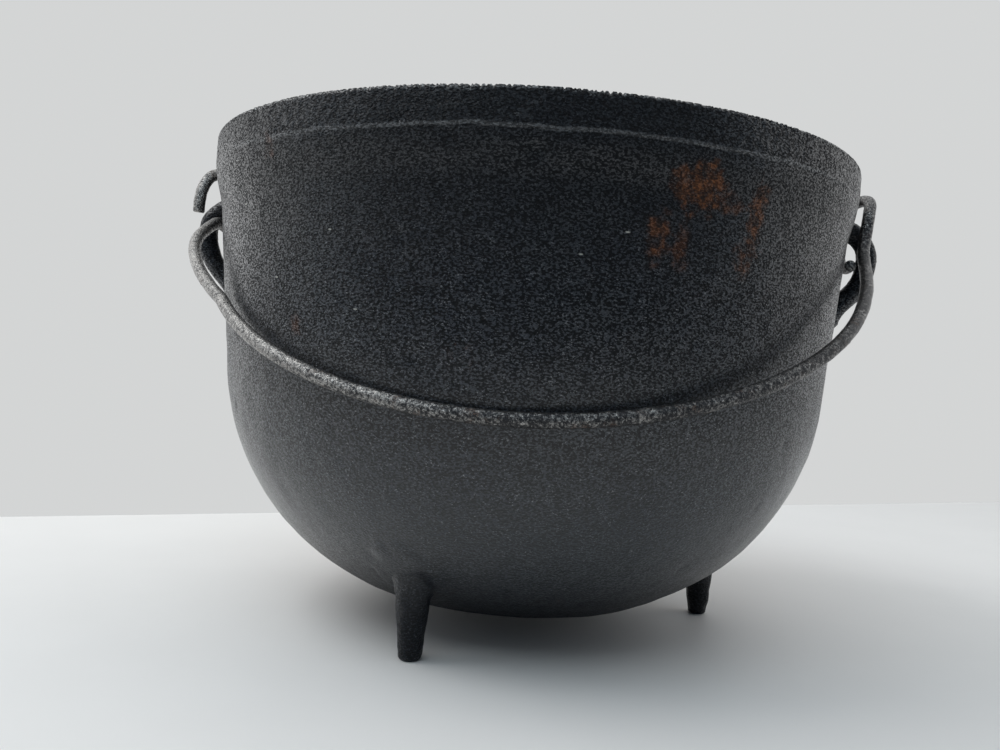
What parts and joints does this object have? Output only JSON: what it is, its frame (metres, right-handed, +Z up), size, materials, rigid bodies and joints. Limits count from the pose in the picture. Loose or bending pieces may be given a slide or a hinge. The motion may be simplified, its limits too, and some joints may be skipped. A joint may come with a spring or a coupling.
{
  "type": "cauldron",
  "caption": "Round-bellied cast-iron cauldron on short peg legs, with looped ears and a bent wire bail that swings over the rim.",
  "frame": {"origin": "on the pot's vertical axis, in the plane that its feet stand on", "axes": "+Z up; X runs through both ears and is the line that the bail swings round; -Y is the front, where the bail hangs against the belly"},
  "size_m": [0.284, 0.254, 0.18],
  "materials": {
    "cast_iron": "rough sand-cast iron, blackened and oiled, with a few rust stains",
    "bail_wire": "dark oxidised wire, worn and pitted"
  },
  "bodies": {
    "cauldron": {"pot_shell": "cast_iron", "rim_band": "cast_iron", "leg_right": "cast_iron", "leg_back_left": "cast_iron", "leg_front_left": "cast_iron", "ear_right": "cast_iron", "ear_left": "cast_iron"},
    "bail": {"bail": "bail_wire"}
  },
  "joints": [
    {"name": "bail_swing", "type": "hinge", "parent": "cauldron", "child": "bail", "pos_m": [0, 0, 0.1622], "axis": [-0.9998, 0, -0.02], "range_deg": [0, 134]}
  ]
}
